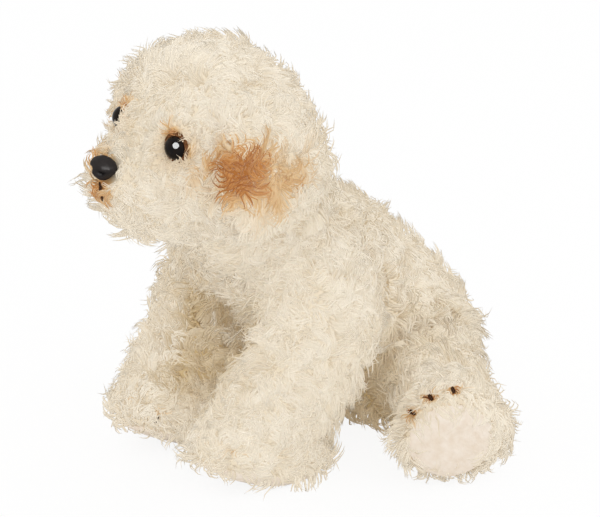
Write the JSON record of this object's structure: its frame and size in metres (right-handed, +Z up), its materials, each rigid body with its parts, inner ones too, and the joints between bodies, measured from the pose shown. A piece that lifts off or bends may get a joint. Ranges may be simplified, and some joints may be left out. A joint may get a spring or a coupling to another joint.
{
  "type": "plush dog",
  "caption": "Sitting stuffed toy puppy in curly cream plush with apricot flap ears, safety eyes and nose, velour soles and softly jointed head, legs and tail.",
  "frame": {"origin": "middle of the flat seat under the torso, on the surface that the toy sits on", "axes": "+Z up, the muzzle points along -Y, the puppy's left side is +X"},
  "size_m": [0.2836, 0.3264, 0.2723],
  "materials": {
    "cream_plush": "curly long pile",
    "apricot_plush": "curly long pile, tinted apricot to rust",
    "velour": "short smooth pile",
    "fibre_fill": "loose fibre",
    "canvas": "plain weave",
    "cream_thread": "twisted thread",
    "brown_thread": "twisted thread",
    "brown_felt": "felt",
    "gloss_black": "polished",
    "satin_black": "satin",
    "white_plastic": "moulded"
  },
  "bodies": {
    "torso": {"torso_cover": "cream_plush", "torso_stuffing": "fibre_fill", "bean_bag": "canvas", "closing_seam": "cream_thread"},
    "neck": {"neck_wad": "fibre_fill"},
    "head": {"head_cover": "cream_plush", "head_stuffing": "fibre_fill", "left_eye": "gloss_black", "right_eye": "gloss_black", "left_eye_rim": "brown_felt", "right_eye_rim": "brown_felt", "left_eye_washer": "white_plastic", "right_eye_washer": "white_plastic", "nose": "satin_black", "nose_washer": "white_plastic", "mouth_stitch": "brown_thread"},
    "left_ear": {"left_ear": "apricot_plush", "left_ear_lining": "velour"},
    "right_ear": {"right_ear": "apricot_plush", "right_ear_lining": "velour"},
    "front_left_leg": {"front_left_leg_cover": "cream_plush", "front_left_leg_stuffing": "fibre_fill", "front_left_sole": "velour", "front_left_claws": "brown_thread"},
    "front_right_leg": {"front_right_leg_cover": "cream_plush", "front_right_leg_stuffing": "fibre_fill", "front_right_sole": "velour", "front_right_claws": "brown_thread"},
    "hind_left_leg": {"hind_left_leg_cover": "cream_plush", "hind_left_leg_stuffing": "fibre_fill", "hind_left_sole": "velour", "hind_left_claws": "brown_thread"},
    "hind_right_leg": {"hind_right_leg_cover": "cream_plush", "hind_right_leg_stuffing": "fibre_fill", "hind_right_sole": "velour", "hind_right_claws": "brown_thread"},
    "tail": {"tail_cover": "cream_plush", "tail_stuffing": "fibre_fill"}
  },
  "joints": [
    {"name": "head_nod", "type": "hinge", "parent": "torso", "child": "neck", "pos_m": [0, -0.108, 0.159], "axis": [1, 0, 0], "range_deg": [-8, 10], "stiffness_Nm_per_rad": 2},
    {"name": "head_turn", "type": "hinge", "parent": "neck", "child": "head", "pos_m": [0, -0.108, 0.159], "axis": [0, 0, 1], "range_deg": [-20, 20], "stiffness_Nm_per_rad": 1},
    {"name": "left_ear_flap", "type": "hinge", "parent": "head", "child": "left_ear", "pos_m": [0.06086, -0.14413, 0.23681], "axis": [-0.0349, -0.9994, 0], "range_deg": [0, 55]},
    {"name": "right_ear_flap", "type": "hinge", "parent": "head", "child": "right_ear", "pos_m": [-0.05459, -0.14009, 0.24692], "axis": [0.0349, 0.9994, 0], "range_deg": [0, 55]},
    {"name": "left_shoulder_swing", "type": "hinge", "parent": "torso", "child": "front_left_leg", "pos_m": [0.03, -0.088, 0.112], "axis": [1, 0, 0], "range_deg": [-12, 8], "stiffness_Nm_per_rad": 1},
    {"name": "right_shoulder_swing", "type": "hinge", "parent": "torso", "child": "front_right_leg", "pos_m": [-0.03, -0.088, 0.112], "axis": [1, 0, 0], "range_deg": [-12, 8], "stiffness_Nm_per_rad": 1},
    {"name": "left_hip_splay", "type": "hinge", "parent": "torso", "child": "hind_left_leg", "pos_m": [0.056, -0.008, 0.042], "axis": [0, 0, 1], "range_deg": [-10, 10], "stiffness_Nm_per_rad": 1},
    {"name": "right_hip_splay", "type": "hinge", "parent": "torso", "child": "hind_right_leg", "pos_m": [-0.056, -0.008, 0.042], "axis": [0, 0, -1], "range_deg": [-10, 10], "stiffness_Nm_per_rad": 1},
    {"name": "tail_wag", "type": "hinge", "parent": "torso", "child": "tail", "pos_m": [-0.008, 0.055, 0.026], "axis": [0, 0, 1], "range_deg": [-25, 5], "stiffness_Nm_per_rad": 0.05}
  ]
}
